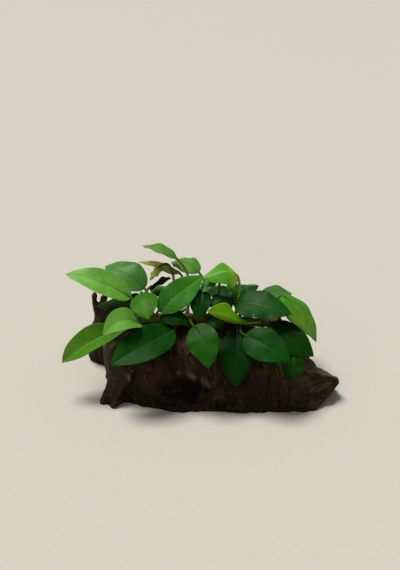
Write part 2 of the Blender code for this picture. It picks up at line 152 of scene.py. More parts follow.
def smoothPath(points, steps):
    # a smooth line through the points
    p = [np.array(q, float) for q in points]
    p = [2 * p[0] - p[1], *p, 2 * p[-1] - p[-2]]
    line = []
    for a, b, c, d in zip(p, p[1:], p[2:], p[3:]):
        for k in range(steps):
            t = k / steps
            bend = (2 * a - 5 * b + 4 * c - d) * t**2
            turn = (3 * b - a - 3 * c + d) * t**3
            line.append(0.5 * (2 * b + (c - a) * t + bend + turn))
    return np.array([*line, p[-2]])


def unit(v):
    return v / np.maximum(np.linalg.norm(v, axis=-1, keepdims=True), 1e-12)


def sweep(path, radii, sides, ripple=None):
    # points and faces of a closed round bar along a path; ripple changes the radius by (ring, angle)
    path = np.asarray(path, float)
    along = unit(np.gradient(path, axis=0))
    up = np.cross(along[0], (0.3, 0.9, 0.2))
    points = []
    angles = np.arange(sides) * 2 * math.pi / sides
    for i, (spot, way) in enumerate(zip(path, along)):
        up = unit(up - way * np.dot(up, way))
        side = np.cross(way, up)
        wide = radii[i] * (1 + (ripple(i, angles) if ripple else 0 * angles))
        upright, sideways = np.outer(wide * np.cos(angles), up), np.outer(wide * np.sin(angles), side)
        points.append(spot + upright + sideways)
    rings = len(path)
    points = np.concatenate([*points, path[:1], path[-1:]])
    faces = []
    for i in range(rings - 1):
        for j in range(sides):
            k = (j + 1) % sides
            faces.append((i * sides + j, i * sides + k, (i + 1) * sides + k, (i + 1) * sides + j))
    first, last = rings * sides, rings * sides + 1
    for j in range(sides):
        k = (j + 1) % sides
        faces.append((first, k, j))
        faces.append((last, (rings - 1) * sides + j, (rings - 1) * sides + k))
    return points, faces


class Finish:
    # a node material; each method adds one node and returns its output
    def __init__(self, name):
        self.material = bpy.data.materials.new(name)
        self.material.use_nodes = True
        self.nodes = self.material.node_tree.nodes
        self.links = self.material.node_tree.links
        self.shader = self.nodes["Principled BSDF"]

    def feed(self, socket, value):
        if hasattr(value, "is_output"):
            self.links.new(value, socket)
        elif hasattr(value, "__len__") and len(value) == 3 and socket.type == "RGBA":
            socket.default_value = (*value, 1)
        else:
            socket.default_value = value

    def math(self, operation, *values):
        node = self.nodes.new("ShaderNodeMath")
        node.operation = operation
        for socket, value in zip(node.inputs, values):
            self.feed(socket, value)
        return node.outputs[0]

    def value(self, name, output="Fac"):
        node = self.nodes.new("ShaderNodeAttribute")
        node.attribute_name = name
        return node.outputs[output]

    def place(self):
        return self.nodes.new("ShaderNodeTexCoord").outputs["Object"]

    def noise(self, vector, scale, detail=3, rough=0.5, twist=0):
        node = self.nodes.new("ShaderNodeTexNoise")
        self.feed(node.inputs["Vector"], vector)
        node.inputs["Scale"].default_value = scale
        node.inputs["Detail"].default_value = detail
        node.inputs["Roughness"].default_value = rough
        node.inputs["Distortion"].default_value = twist
        return node.outputs["Fac"]

    def ramp(self, value, low, high, start=0.0, end=1.0):
        node = self.nodes.new("ShaderNodeMapRange")
        node.interpolation_type = "SMOOTHSTEP"
        node.inputs["From Min"].default_value = low
        node.inputs["From Max"].default_value = high
        node.inputs["To Min"].default_value = start
        node.inputs["To Max"].default_value = end
        self.feed(node.inputs["Value"], value)
        return node.outputs["Result"]

    def mix(self, share, first, second):
        node = self.nodes.new("ShaderNodeMix")
        node.data_type = "RGBA"
        for index, value in ((0, share), (6, first), (7, second)):  # the colour sockets of a mix
            self.feed(node.inputs[index], value)
        return node.outputs[2]

    def bump(self, height, depth, strength):
        node = self.nodes.new("ShaderNodeBump")
        node.inputs["Strength"].default_value = strength
        node.inputs["Distance"].default_value = depth * mm
        self.feed(node.inputs["Height"], height)
        self.links.new(node.outputs[0], self.shader.inputs["Normal"])


def floorFinish():
    f = Finish("paleFloor")
    grain = f.noise(f.place(), 260, 4, 0.6)
    colour = room["floorColour"]
    darker = tuple(c * (1 - room["floorGrain"]) for c in colour)
    f.feed(f.shader.inputs["Base Color"], f.mix(grain, darker, colour))
    f.shader.inputs["Roughness"].default_value = 0.9
    return f.material


# The driftwood: one weathered skin, parted at its forks.

driftwood = {
    # x, front foot y, then (y, z) of front shoulder, crown and back shoulder, back foot y, underside z
    "sections": (
        (-79, 2, (3, 14), (10, 20), (20, 18), 28, -3),
        (-73, -26, (-20, 28), (2, 39), (24, 31), 36, -3),
        (-60, -37, (-28, 38), (-4, 50), (24, 41), 40, -3),
        (-42, -44, (-34, 44), (-8, 54), (22, 44), 42, -3),
        (-20, -49, (-39, 44), (-9, 55), (20, 44), 42, -3),
        (2, -51, (-42, 41), (-9, 55), (18, 42), 40, -3),
        (22, -51, (-43, 38), (-10, 53), (16, 40), 38, -3),
        (42, -52, (-43, 36), (-10, 51), (12, 37), 33, -3),
        (60, -52, (-42, 34), (-11, 47), (8, 32), 25, -3),
        (76, -52, (-40, 29), (-21, 35), (-3, 23), 12, -3),
        (90, -49, (-38, 26), (-26, 30), (-12, 20), 0, -3),
        (102, -42, (-35, 20), (-27, 24), (-18, 17), -10, 2),
        (110, -34, (-32, 12), (-27, 15), (-22, 11), -19, 5),
    ),
    "limbs": {
        "horn stem": (
            (-76, 34, -4, 15),
            (-83, 35, 8, 13),
            (-84, 31, 26, 9.5),
            (-83, 27, 42, 7.5),
            (-82, 25, 53, 5),
        ),
        "horn spike": (
            (-85, 26, 44, 4),
            (-87, 25, 56, 2.4),
            (-87, 25, 64, 1.8),
            (-87, 24, 69, 1.3),
        ),
        "horn prong": (
            (-80, 25, 46, 6),
            (-80, 25, 57, 3.6),
            (-78, 24, 65, 3.0),
            (-75, 23, 71, 2.0),
        ),
        "back ridge": (
            (-78, 28, 36, 8),
            (-64, 25, 52, 8),
            (-53, 22, 60, 7),
            (-44, 18, 54, 6),
            (-36, 12, 42, 8),
        ),
        "front root, left strand": (
            (-54, -10, 34, 9),
            (-65, -25, 24, 6),
            (-71, -32, 12, 5),
            (-76, -37, -3, 4.5),
        ),
        "front root, right strand": (
            (-44, -14, 32, 9),
            (-55, -28, 26, 7),
            (-64, -36, 12, 6.5),
            (-70, -40, -3, 6.5),
        ),
        "knob on the snout": (
            (80, -16, 20, 7),
            (85, -14, 27, 4.5),
            (87, -13, 32, 2.5),
        ),
        "back stub": (
            (30, 22, 8, 12),
            (44, 36, 8, 9),
            (54, 44, 6, 6),
        ),
    },
    # inside the trunk, these only turn the fibre
    "fibreGuides": {
        "left flank": ((-58, -16, 46, 6), (-50, -34, 28, 8), (-50, -42, 4, 8)),
        "middle column": ((-22, -28, 48, 7), (-20, -41, 34, 7), (-10, -46, 22, 5)),
        "right of the cave": ((8, -30, 46, 6), (12, -44, 26, 6), (4, -48, 4, 6)),
        "right column": ((30, -32, 42, 7), (36, -45, 22, 8), (42, -48, 3, 8)),
        "far right": ((58, -30, 38, 7), (66, -42, 18, 8), (60, -47, 2, 8)),
        "back left": ((-50, 20, 44, 6), (-44, 36, 24, 8), (-52, 40, 2, 8)),
        "back middle": ((0, 16, 44, 6), (6, 34, 24, 8), (-4, 38, 2, 8)),
    },
    "lumps": ((0.035, 2.6), (0.10, 1.1), (0.24, 0.5)),  # waves per mm, height
    "caveCentre": (-13, -52, 16),
    "caveSize": (20, 20, 12),
    "caveRagged": 0.22,
    "caveWaves": 1.9,
    # lines raised (+) or carved (-) on the skin: height, half width, then points
    "lines": {
        "lip over the cave": (
            3.6, 2.4, (-38, -46, 20), (-30, -46, 27), (-17, -45, 31), (-4, -46, 29), (6, -48, 23),
        ),
        "shelf left of the cave": (1.2, 3.0, (-58, -38, 24), (-46, -42, 19), (-36, -46, 20)),
        "groove in the front root": (
            -6.0, 2.6, (-52, -25, 36), (-60, -34, 23), (-67, -39, 11), (-73, -42, 0),
        ),
        "edge of the front root": (
            2.2, 1.7, (-46, -28, 38), (-54, -36, 25), (-62, -41, 13), (-68, -45, 1),
        ),
        "edge along the snout": (
            2.4, 2.2, (70, -41, 33), (84, -39, 30), (96, -35, 25), (108, -29, 17),
        ),
        "split on the snout": (-2.2, 1.2, (72, -30, 36), (86, -29, 33), (98, -27, 28)),
        "rib down the middle": (1.4, 3.0, (16, -46, 40), (14, -51, 26), (20, -53, 10)),
        "hollow right of the middle": (-1.8, 5.0, (34, -48, 30), (40, -53, 14), (38, -54, 2)),
        "crown under the rhizome": (
            3.4, 5.0, (14, -8, 55), (30, -8, 54), (46, -8, 51), (60, -8, 48), (70, -10, 43),
        ),
        "back furrow": (
            -2.5, 2.4, (-50, 34, 30), (-16, 38, 26), (20, 36, 22), (40, 32, 18),
        ),
        "back rib": (1.8, 3.0, (-60, 38, 16), (-26, 41, 14), (10, 39, 12)),
    },
    "firstVoxel": 2.0,
    "fineVoxel": 0.9,
    "smoothPasses": 4,
    "barSides": 16,
    "trunkShare": 0.14,  # how much the trunk's own fibre counts everywhere
    "limbReach": 4.5,  # how far past its skin a limb still turns the fibre
    "fibreSquash": 0.10,  # length of a grain mark along the fibre, against its width
    # waves per mm across the fibre, and where the noise starts
    "ropes": (0.16, 3.1),
    "strands": (0.42, 11.7),
    "splits": (0.11, 23.9),
    "wornWaves": 0.045,
    "ropeHeight": 1.7,  # long swells along the fibre
    "strandHeight": 0.55,
    "crackDepth": 1.9,
    "crackShare": 0.075,
    "lineRagged": 1.2,  # how much the swells shift a raised or carved line
    "knotHeight": 1.6,
    "knotGroove": 0.8,
    "breakFlat": 0.88,  # 1 cuts a break quite flat
    "lowHeight": 22,  # the wood is darker below this height
    "dark": (0.0055, 0.0038, 0.0014),
    "brown": (0.020, 0.0100, 0.0028),
    "red": (0.050, 0.0158, 0.0046),
    # tan is a painted highlight, laid where the fibre stands out and where faces turn up
    "tan": (0.150, 0.094, 0.036),
    "algae": (0.066, 0.050, 0.009),
    "bleachedAndTopLit": (0.185, 0.125, 0.052),  # the two ends, and the up-facing faces of the right end as painted top light
    # near black: painted shade down in the cracks and the carved grooves
    "crackShade": (0.003, 0.002, 0.0012),
    "darkFoot": 0.78,  # how much darker the wood gets towards the ground
    "gloss": 0.16,
    # flat breaks: a point on each, and the way it faces
    "breaks": (((90, -48, 0), (0.70, -0.30, -0.62)), ((101, -36, 26), (0.55, -0.15, 0.80))),
    "knots": ((88, -22, 31, 5.0), (30, -50, 22, 4.0), (-72, 14, 30, 4.5)),
    # a point on each plane between two pieces, and the way the plane faces
    "forkPlanes": (
        ((70, 0, 0), (1, 0, 0)),
        ((-60, 0, 0), (1, 0, 0)),
        ((0, 4, 0), (0, 1, 0)),
        ((0, 0, 31), (0, 0, 1)),
        ((-48, 0, 0), (1, 0, 0)),
        ((0, -23, 0), (0, 1, 0)),
    ),
    # piece: its node, then the low and high corners of the box it fills; the trunk takes the rest
    "forks": {
        "driftwoodSnout": ("driftwood_snout", (70, -200, -200), (200, 200, 200)),
        "driftwoodHorn": ("driftwood_horn", (-200, 4, 31), (-60, 200, 200)),
        "driftwoodFrontRoot": ("driftwood_front_root", (-200, -200, -200), (-48, -23, 200)),
        "driftwoodTrunk": ("driftwood_trunk", (-200, -200, -200), (200, 200, 200)),
    },
}


def trunkRing(x, frontFoot, front, crown, back, backFoot, under):
    corners = [(x, frontFoot, under), (x, *front), (x, *crown), (x, *back), (x, backFoot, under)]
    return [*smoothPath(corners, 3), (x, (frontFoot + backFoot) / 2, under)]


def coarseWood():
    rings = [trunkRing(*section) for section in driftwood["sections"]]
    count = len(rings[0])
    points = [p for ring in rings for p in ring]
    faces = [tuple(range(count))[::-1], tuple(range(len(points) - count, len(points)))]
    for i in range(len(rings) - 1):
        for j in range(count):
            k = (j + 1) % count
            faces.append((i * count + j, i * count + k, (i + 1) * count + k, (i + 1) * count + j))
    for stations in driftwood["limbs"].values():
        path = smoothPath([s[:3] for s in stations], 3)
        radii = smoothPath([(s[3], 0, 0) for s in stations], 3)[:, 0]
        more, moreFaces = sweep(path, radii, driftwood["barSides"])
        faces += [tuple(i + len(points) for i in face) for face in moreFaces]
        points += list(more)
    whole = addPiece("wood", np.array(points) * mm, faces)
    bm = bmesh.new()
    bm.from_mesh(whole.data)
    bmesh.ops.recalc_face_normals(bm, faces=bm.faces)
    bm.to_mesh(whole.data)
    bm.free()
    remesh(whole, driftwood["firstVoxel"])
    return bakedMesh(whole)


def remesh(obj, voxel):
    modifier = obj.modifiers.new("oneSkin", "REMESH")
    modifier.mode = "VOXEL"
    modifier.voxel_size = voxel * mm


def farFromLine(points, line, radii):
    # how far each point is from the skin of a bar along the line
    nearest = np.full(len(points), 1e9)
    for a, b, ra, rb in zip(line, line[1:], radii, radii[1:]):
        way = b - a
        t = np.clip((points - a) @ way / max(way @ way, 1e-9), 0, 1)
        gap = np.linalg.norm(points - a - t[:, None] * way, axis=1) - (ra + (rb - ra) * t)
        nearest = np.minimum(nearest, gap)
    return nearest


def fibreMaps(points):
    # for each point, its share in the trunk and in each limb, and each one's grain direction
    trunkLine = [(s[0], (s[1] + s[5]) / 2, 20) for s in driftwood["sections"]]
    ways = [unit(np.array(trunkLine[-1], float) - np.array(trunkLine[0], float))]
    shares = [np.full(len(points), driftwood["trunkShare"])]
    for stations in [*driftwood["limbs"].values(), *driftwood["fibreGuides"].values()]:
        line = smoothPath([s[:3] for s in stations], 3)
        radii = smoothPath([(s[3], 0, 0) for s in stations], 3)[:, 0]
        ways.append(unit(line[-1] - line[0]))
        far = np.maximum(0, farFromLine(points, line, radii))
        shares.append(np.exp(-far / driftwood["limbReach"]))
    shares = np.array(shares)
    return shares / shares.sum(0), np.array(ways)


def fibreNoise(places, shares, ways, fineness, seed):
    # noise that runs long along the fibre of each limb
    squash = driftwood["fibreSquash"]
    total = np.zeros(len(places))
    for k, way in enumerate(ways):
        here = np.nonzero(shares[k] > 0.04)[0]  # a smaller share wouldn't show
        spots = places[here]
        spots = (spots - np.outer(spots @ way, way) * (1 - squash)) * fineness + seed + 7.3 * k
        found = np.array([noise.noise(Vector(s)) for s in spots])
        total[here] += shares[k][here] * found
    return total


def hollowedWood():
    # the coarse wood with its cave cut in, remeshed to one fine skin and smoothed
    look = driftwood
    whole = bpy.data.objects.new("wood", coarseWood())
    bpy.context.scene.collection.objects.link(whole)
    bm = bmesh.new()
    bmesh.ops.create_uvsphere(bm, u_segments=48, v_segments=32, radius=1.0)
    for v in bm.verts:
        v.co *= 1 + look["caveRagged"] * noise.noise(v.co * look["caveWaves"] + Vector((3, 1, 2)))
    bmesh.ops.scale(bm, vec=[s * mm for s in look["caveSize"]], verts=bm.verts)
    bmesh.ops.translate(bm, vec=[s * mm for s in look["caveCentre"]], verts=bm.verts)
    cave = addPiece("cave", [], [])
    bm.to_mesh(cave.data)
    bm.free()
    cut = whole.modifiers.new("cave", "BOOLEAN")
    cut.operation = "DIFFERENCE"
    cut.object = cave
    remesh(whole, look["fineVoxel"])
    mesh = bakedMesh(whole)
    bpy.data.objects.remove(cave, do_unlink=True)
    bm = bmesh.new()
    bm.from_mesh(mesh)
    axes = dict(use_axis_x=True, use_axis_y=True, use_axis_z=True)
    for _ in range(look["smoothPasses"]):
        bmesh.ops.smooth_vert(bm, verts=bm.verts, factor=0.5, **axes)
    bm.to_mesh(mesh)
    bm.free()
    return mesh


def carvedLines(points, ropes, strands):
    # how far each point is raised or sunk by the lines
    carved = np.zeros(len(points))
    for height, half, *path in driftwood["lines"].values():
        line = smoothPath(path, 5)
        far = farFromLine(points, line, np.zeros(len(line))) + driftwood["lineRagged"] * ropes
        carved += height * np.exp(-np.maximum(far, 0) ** 2 / half**2) * (0.8 + 0.5 * strands)
    return carved


def wearWood(mesh):
    # push the skin in and out, and keep on it what the finish needs
    look = driftwood
    points = pointsOf(mesh) / mm
    normals = normalsOf(mesh)
    lumps = sum(np.array([noise.noise(Vector(p * w)) for p in points]) * h for w, h in look["lumps"])
    shares, ways = fibreMaps(points)
    ropes = fibreNoise(points, shares, ways, *look["ropes"])
    strands = fibreNoise(points, shares, ways, *look["strands"])
    splits = fibreNoise(points, shares, ways, *look["splits"])
    patchy = np.array([noise.noise(Vector(p * look["wornWaves"] + 40)) for p in points])
    crack = np.clip(1 - np.abs(splits) / look["crackShare"], 0, 1) ** 1.5
    crack = crack * np.clip(0.55 + 1.6 * patchy, 0, 1)
    swells = look["ropeHeight"] * ropes
    push = lumps + swells + look["strandHeight"] * strands - look["crackDepth"] * crack
    carved = carvedLines(points, ropes, strands)
    push += carved
    ring = np.zeros(len(points))
    for x, y, z, wide in look["knots"]:
        far = np.linalg.norm(points - (x, y, z), axis=1) / wide
        groove = look["knotGroove"] * np.exp(-((far - 1.5) ** 2) / 0.08)
        push += look["knotHeight"] * np.exp(-far**2) - groove
        ring = np.maximum(ring, np.exp(-((far - 0.6) ** 2) / 0.3))
    points += normals * push[:, None]
    for spot, way in look["breaks"]:
        way = unit(np.array(way, float))
        beyond = np.maximum((points - spot) @ way, 0)
        points -= look["breakFlat"] * beyond[:, None] * way
    setPoints(mesh, points * mm)
    upward = np.clip(normalsOf(mesh)[:, 2], 0, 1)
    # ridge: raised fibre and lines, with faces turning up counted in, for the painted tan highlight
    ridge = 0.30 + 0.55 * ropes + 0.45 * strands + 0.10 * np.clip(carved, -3, 3) + 0.42 * upward
    keepValues(mesh, "ridge", np.clip(ridge - 0.5 * crack, 0, 1))
    # cracks and carved grooves, which the finish fills with painted shade
    keepValues(mesh, "crack", np.clip(crack + 0.35 * np.clip(-carved - 0.8, 0, 2), 0, 1))
    keepValues(mesh, "low", np.clip(1.15 - points[:, 2] / look["lowHeight"], 0, 1))
    # both ends are paler from weathering; on the right end only faces turning up, which is painted top
    # light
    ends = np.clip((np.abs(points[:, 0] + 6) - 48) / 24, 0, 1)
    paleness = np.where(points[:, 0] > 0, np.clip(1.6 * upward - 0.2, 0.06, 1), 0.4)
    keepValues(mesh, "bleachedAndTopLit", ends * paleness)
    keepValues(mesh, "knot", ring)
    main = ways[np.argmax(shares, axis=0)]
    shrink = np.sum(points * main, axis=1) * (1 - look["fibreSquash"])
    keepVectors(mesh, "grain", points - main * shrink[:, None])


def makeWood():
    mesh = hollowedWood()
    wearWood(mesh)
    bm = bmesh.new()
    bm.from_mesh(mesh)

    def cutAlong(spot, plane, **options):
        everything = [*bm.verts, *bm.edges, *bm.faces]
        bmesh.ops.bisect_plane(bm, geom=everything, plane_co=Vector(spot) * mm, plane_no=plane, **options)

    cutAlong((0, 0, 0), (0, 0, 1), clear_inner=True)
    bmesh.ops.holes_fill(bm, edges=[e for e in bm.edges if e.is_boundary])
    for spot, plane in driftwood["forkPlanes"]:
        cutAlong(spot, plane)
    bmesh.ops.triangulate(bm, faces=[f for f in bm.faces if len(f.verts) > 4])
    bm.to_mesh(mesh)
    bm.free()
    mesh.shade_smooth()
    print("driftwood skin:", len(mesh.polygons), "faces")
    return mesh


def woodFinish():
    look = driftwood
    f = Finish("driftwoodBog")
    grain = f.value("grain", "Vector")
    fibre = f.noise(grain, 1.6, 4, 0.65)
    fine = f.noise(grain, 5.0, 3, 0.6)
    patches = f.noise(f.place(), 38, 3, 0.55, 0.4)
    redPatch = f.ramp(patches, 0.48, 0.66)
    mottle = f.noise(f.place(), 420, 3, 0.7)
    # painted highlight: tan where the fibre stands out and faces turn up, broken into patches
    lit = f.ramp(f.math("ADD", f.value("ridge"), f.math("MULTIPLY", fibre, 0.5)), 0.72, 1.12)
    patchy = f.ramp(f.noise(f.place(), 60, 2), 0.38, 0.66, 0.05, 0.85)
    colour = f.mix(f.ramp(fibre, 0.35, 0.70), look["dark"], look["brown"])
    colour = f.mix(f.math("MULTIPLY", redPatch, 0.85), colour, look["red"])
    pale = f.math("MULTIPLY", f.value("bleachedAndTopLit"), f.ramp(fibre, 0.38, 0.62, 0.15, 0.85))
    colour = f.mix(pale, colour, look["bleachedAndTopLit"])
    grown = f.math("MULTIPLY", f.value("low"), f.ramp(mottle, 0.54, 0.66))
    colour = f.mix(f.math("MULTIPLY", lit, patchy), colour, look["tan"])
    colour = f.mix(f.math("MULTIPLY", f.value("knot"), 0.5), colour, look["dark"])
    colour = f.mix(f.math("MULTIPLY", f.value("low"), look["darkFoot"]), colour, look["dark"])
    colour = f.mix(f.math("MULTIPLY", grown, 0.75), colour, look["algae"])
    # painted shade in the cracks and carved grooves
    colour = f.mix(f.math("MULTIPLY", f.value("crack"), 0.7), colour, look["crackShade"])
    f.feed(f.shader.inputs["Base Color"], colour)
    f.feed(f.shader.inputs["Roughness"], f.ramp(fine, 0.3, 0.7, 0.62, 0.88))
    f.shader.inputs["Specular IOR Level"].default_value = look["gloss"]
    height = f.math("ADD", f.math("MULTIPLY", fibre, 0.6), f.math("MULTIPLY", fine, 0.4))
    f.bump(height, 0.9, 0.8)
    return f.material


def placeWood(mesh):
    finish = woodFinish()
    centres = np.array([p.center for p in mesh.polygons]) / mm
    normals = normalsOf(mesh)
    left = np.ones(len(centres), bool)
    for name, (node, low, high) in driftwood["forks"].items():
        inside = left & np.all((centres > low) & (centres < high), axis=1)
        left &= ~inside
        piece = bpy.data.objects.new(name, mesh.copy())
        bpy.context.scene.collection.objects.link(piece)
        bm = bmesh.new()
        bm.from_mesh(piece.data)
        bm.faces.ensure_lookup_table()
        mark = bm.verts.layers.int.new("was")
        for v in bm.verts:
            v[mark] = v.index
        others = [face for face, keep in zip(bm.faces, inside) if not keep]
        bmesh.ops.delete(bm, geom=others, context="FACES")
        was = [v[mark] for v in bm.verts]
        bm.verts.layers.int.remove(mark)
        bm.to_mesh(piece.data)
        bm.free()
        piece.data.normals_split_custom_set_from_vertices(normals[was])
        piece.data.materials.append(finish)
        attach(piece, "root")
        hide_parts(node)
        print(name, len(piece.data.polygons), "faces")


# Rhizomes creep along the crown, and roots hold them to the wood.

rhizomes = {
    "rhizome_left": ((-64, -3, 55), (-50, -5, 58.5), (-30, -6, 60), (-10, -6, 60.5), (10, -9.5, 60.5)),
    "rhizome_right": ((5, 0, 59.5), (20, -6, 58.5), (46, -6, 56), (58, -3, 54.5), (66, 0, 55)),
}

stem = {
    "radius": 3.6,
    "scarGap": 3.4,  # from one leaf scar to the next
    "scarHeight": 0.10,
    "lumpHeight": 0.16,
    "narrowing": 0.25,  # how much thinner the ends are
    "endRound": 4.5,  # length of the rounded ends
    "sides": 40,
    "steps": 14,
    "green": (0.120, 0.135, 0.020),
    "brown": (0.040, 0.026, 0.008),
    "scar": (0.170, 0.140, 0.050),
}

roots = {
    "axis": (-12, 18),  # y and z of the line they turn about
    "radius": 0.9,
    # x and angle from straight up where each starts and ends, positive to the front
    "holding": {
        "holding_root_1": (-48, 24, -50, 62),
        "holding_root_2": (-12, 26, -4, 62),
        "holding_root_3": (1, 22, 12, 88),
        "holding_root_4": (24, 24, 20, 96),
        "holding_root_5": (54, 26, 60, 84),
        "holding_root_6": (-26, -14, -30, -80),
        "holding_root_7": (-6, -12, 4, -84),
        "holding_root_8": (38, -16, 46, -80),
    },
    "hairs": 30,
    "hairRadius": 0.30,
    "tan": (0.072, 0.050, 0.020),
    "dark": (0.010, 0.007, 0.003),
}


def rhizomeLine(name):
    return smoothPath(rhizomes[name], 4)


def makeRhizomes():
    f = Finish("rhizomeGreen")
    scars = f.value("scar")
    patches = f.noise(f.place(), 160, 3, 0.6)
    colour = f.mix(f.ramp(patches, 0.40, 0.65), stem["green"], stem["brown"])
    f.feed(f.shader.inputs["Base Color"], f.mix(scars, colour, stem["scar"]))
    f.shader.inputs["Roughness"].default_value = 0.55
    f.shader.inputs["Specular IOR Level"].default_value = 0.2
    f.bump(f.noise(f.place(), 900, 3), 0.3, 0.5)
    for name in rhizomes:
        line = rhizomeLine(name)
        fine = smoothPath(line[::2], stem["steps"])
        last = len(fine) - 1
        walk = np.concatenate([[0], np.cumsum(np.linalg.norm(np.diff(fine, axis=0), axis=1))])
        fromMiddle = np.abs(2 * np.arange(last + 1) / last - 1)
        radii = stem["radius"] * (1 - stem["narrowing"] * fromMiddle**6)
        fromEnd = np.minimum(walk, walk[-1] - walk) / stem["endRound"]
        radii *= np.sqrt(1 - (1 - np.clip(fromEnd, 0.01, 1)) ** 2)
        cycle = (walk / stem["scarGap"]) % 1

        def ripple(i, angles):
            lean = (cycle[i] + 0.12 * np.sin(angles + walk[i] * 0.21)) % 1
            spots = [(walk[i] * 0.4, math.cos(a) * 1.4, math.sin(a) * 1.4) for a in angles]
            lumps = np.array([noise.noise(Vector(spot)) for spot in spots])
            scar = stem["scarHeight"] * np.exp(-((lean - 0.5) ** 2) / 0.008)
            return scar + stem["lumpHeight"] * lumps - 0.03

        points, faces = sweep(fine, radii, stem["sides"], ripple)
        piece = addPiece(name.replace("_l", "L").replace("_r", "R"), points * mm, faces, True)
        rings = np.repeat(cycle, stem["sides"])
        keepValues(piece.data, "scar", np.append(0.7 * np.exp(-((rings - 0.5) ** 2) / 0.012), [0, 0]))
        piece.data.materials.append(f.material)
        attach(piece, "root")
        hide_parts(name)
    print("rhizomes:", len(rhizomes))


def rootPath(tree, startX, startAngle, endX, endAngle, lift, steps, seed):
    y, z = roots["axis"]
    path = []
    for k in range(steps):
        t = k / (steps - 1)
        angle = math.radians(startAngle + (endAngle - startAngle) * t)
        sway = 1.6 * math.sin(7 * t + seed) + 0.8 * math.sin(17 * t + 2 * seed)
        middle = Vector((startX + (endX - startX) * t + sway, y, z))
        out = Vector((0, -math.sin(angle), math.cos(angle)))
        hit = tree.ray_cast((middle + out * 90) * mm, -out)[0]
        if hit is None:
            continue
        path.append(np.array(hit / mm + out * lift))
    return np.array(path)


def rootFinish():
    f = Finish("rootWiry")
    streaks = f.noise(f.place(), 220, 4, 0.6)
    colour = f.mix(f.ramp(streaks, 0.40, 0.62), roots["dark"], roots["tan"])
    f.feed(f.shader.inputs["Base Color"], colour)
    f.shader.inputs["Roughness"].default_value = 0.7
    f.shader.inputs["Specular IOR Level"].default_value = 0.1
    f.bump(f.noise(f.place(), 1500, 2), 0.2, 0.5)
    return f.material


def makeRoots(woodMesh):
    bm = bmesh.new()
    bm.from_mesh(woodMesh)
    tree = BVHTree.FromBMesh(bm)
    bm.free()
    finish = rootFinish()
    radius = roots["radius"]
    for name, (startX, startAngle, endX, endAngle) in roots["holding"].items():
        path = rootPath(tree, startX, startAngle, endX, endAngle, radius * 0.7, 24, startX)
        path = smoothPath(path, 3)
        radii = radius * (1 - 0.55 * np.linspace(0, 1, len(path)))
        points, faces = sweep(path, radii, 12, lambda i, angles: 0.08 * np.sin(i * 0.9 + angles))
        piece = addPiece(name.replace("holding_root_", "holdingRoot"), points * mm, faces, True)
        piece.data.materials.append(finish)
        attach(piece, "root")
        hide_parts(name)
    random = np.random.default_rng(7)
    allPoints, allFaces, count = [], [], 0
    for k in range(roots["hairs"]):
        front = k % 4 != 3
        startX = -58 + 122 * (k + random.uniform(0, 1)) / roots["hairs"]
        startAngle = random.uniform(10, 24) * (1 if front else -1)
        endAngle = random.uniform(45, 100) * (1 if front else -1)
        endX = startX + random.uniform(-14, 14)
        path = rootPath(tree, startX, startAngle, endX, endAngle, 0.25, 20, 1.7 * k)
        if len(path) < 12:
            continue
        path = smoothPath(path, 3)
        radii = roots["hairRadius"] * (1 - 0.75 * np.linspace(0, 1, len(path)))
        points, faces = sweep(path, radii, 8)
        allPoints.append(points)
        allFaces += [tuple(i + count for i in face) for face in faces]
        count += len(points)
    piece = addPiece("rootHairs", np.concatenate(allPoints) * mm, allFaces, True)
    piece.data.materials.append(finish)
    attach(piece, "root")
    print("roots:", len(roots["holding"]), "holding roots and", len(allPoints), "hairs")


# Leaves: each is a blade with its stalk.

blade = {
    "along": 54,  # rows of faces from base to tip
    "across": 26,
    "thick": 0.34,
    "keel": 0.8,  # midrib standing out below
    "groove": 0.35,  # midrib sunk above
    "veins": 8,  # main veins on each half
    "fineVeins": 4,  # to each main one
    "veinDepth": 0.05,
    "veinSweep": 0.24,  # how far a vein runs forward on its way to the edge
    "belly": 0.36,  # where the blade is widest, from base to tip
    "falloff": 0.85,  # below 1 makes a blunter tip
    "cup": 0.06,  # how much the margins turn down
    "ripple": 0.35,
    "stalk": 1.25,  # radius at the foot
    "neck": 0.95,  # radius at the blade
    "flare": 0.55,  # how much thicker the very foot is
    "stalkSides": 14,
    "stalkSunk": 0.8,  # depth of the foot in the rhizome
    "rise": 0.3,
    "bow": 0.45,
    "stalkColour": (0.040, 0.070, 0.012),
    # what a leaf has when its own row gives nothing else
    "wave": 0.7,
    "lobe": 0.05,
    "rib": 1.35,
    "gloss": 0.12,
    "veinShow": 0.22,
}

# body, blotches, veins, underside, roughness
leafTones = {
    "fresh": (
        (0.155, 0.415, 0.046), (0.112, 0.325, 0.030), (0.21, 0.48, 0.085), (0.15, 0.36, 0.06), 0.38,
    ),
    "mid": (
        (0.040, 0.205, 0.013), (0.026, 0.155, 0.008), (0.075, 0.27, 0.028), (0.07, 0.22, 0.03), 0.37,
    ),
    "blue": (
        (0.058, 0.220, 0.030), (0.040, 0.172, 0.021), (0.095, 0.28, 0.058), (0.09, 0.23, 0.05), 0.36,
    ),
    # the deep tone: partly the leaves' own dark green, partly painted shade for leaves that lie in shadow
    "deep": (
        (0.004, 0.052, 0.0018), (0.0026, 0.037, 0.0012), (0.012, 0.080, 0.006), (0.02, 0.085, 0.010), 0.37,
    ),
    "pale": (
        (0.032, 0.185, 0.012), (0.022, 0.145, 0.008), (0.07, 0.25, 0.03), (0.09, 0.24, 0.04), 0.42,
    ),
    "young": (
        (0.150, 0.440, 0.004), (0.105, 0.350, 0.003), (0.34, 0.60, 0.030), (0.24, 0.46, 0.012), 0.40,
    ),
    "olive": (
        (0.090, 0.240, 0.010), (0.062, 0.185, 0.007), (0.17, 0.30, 0.025), (0.11, 0.22, 0.02), 0.40,
    ),
    "old": (
        (0.20, 0.19, 0.045), (0.14, 0.125, 0.028), (0.30, 0.29, 0.10), (0.17, 0.15, 0.04), 0.50,
    ),
}
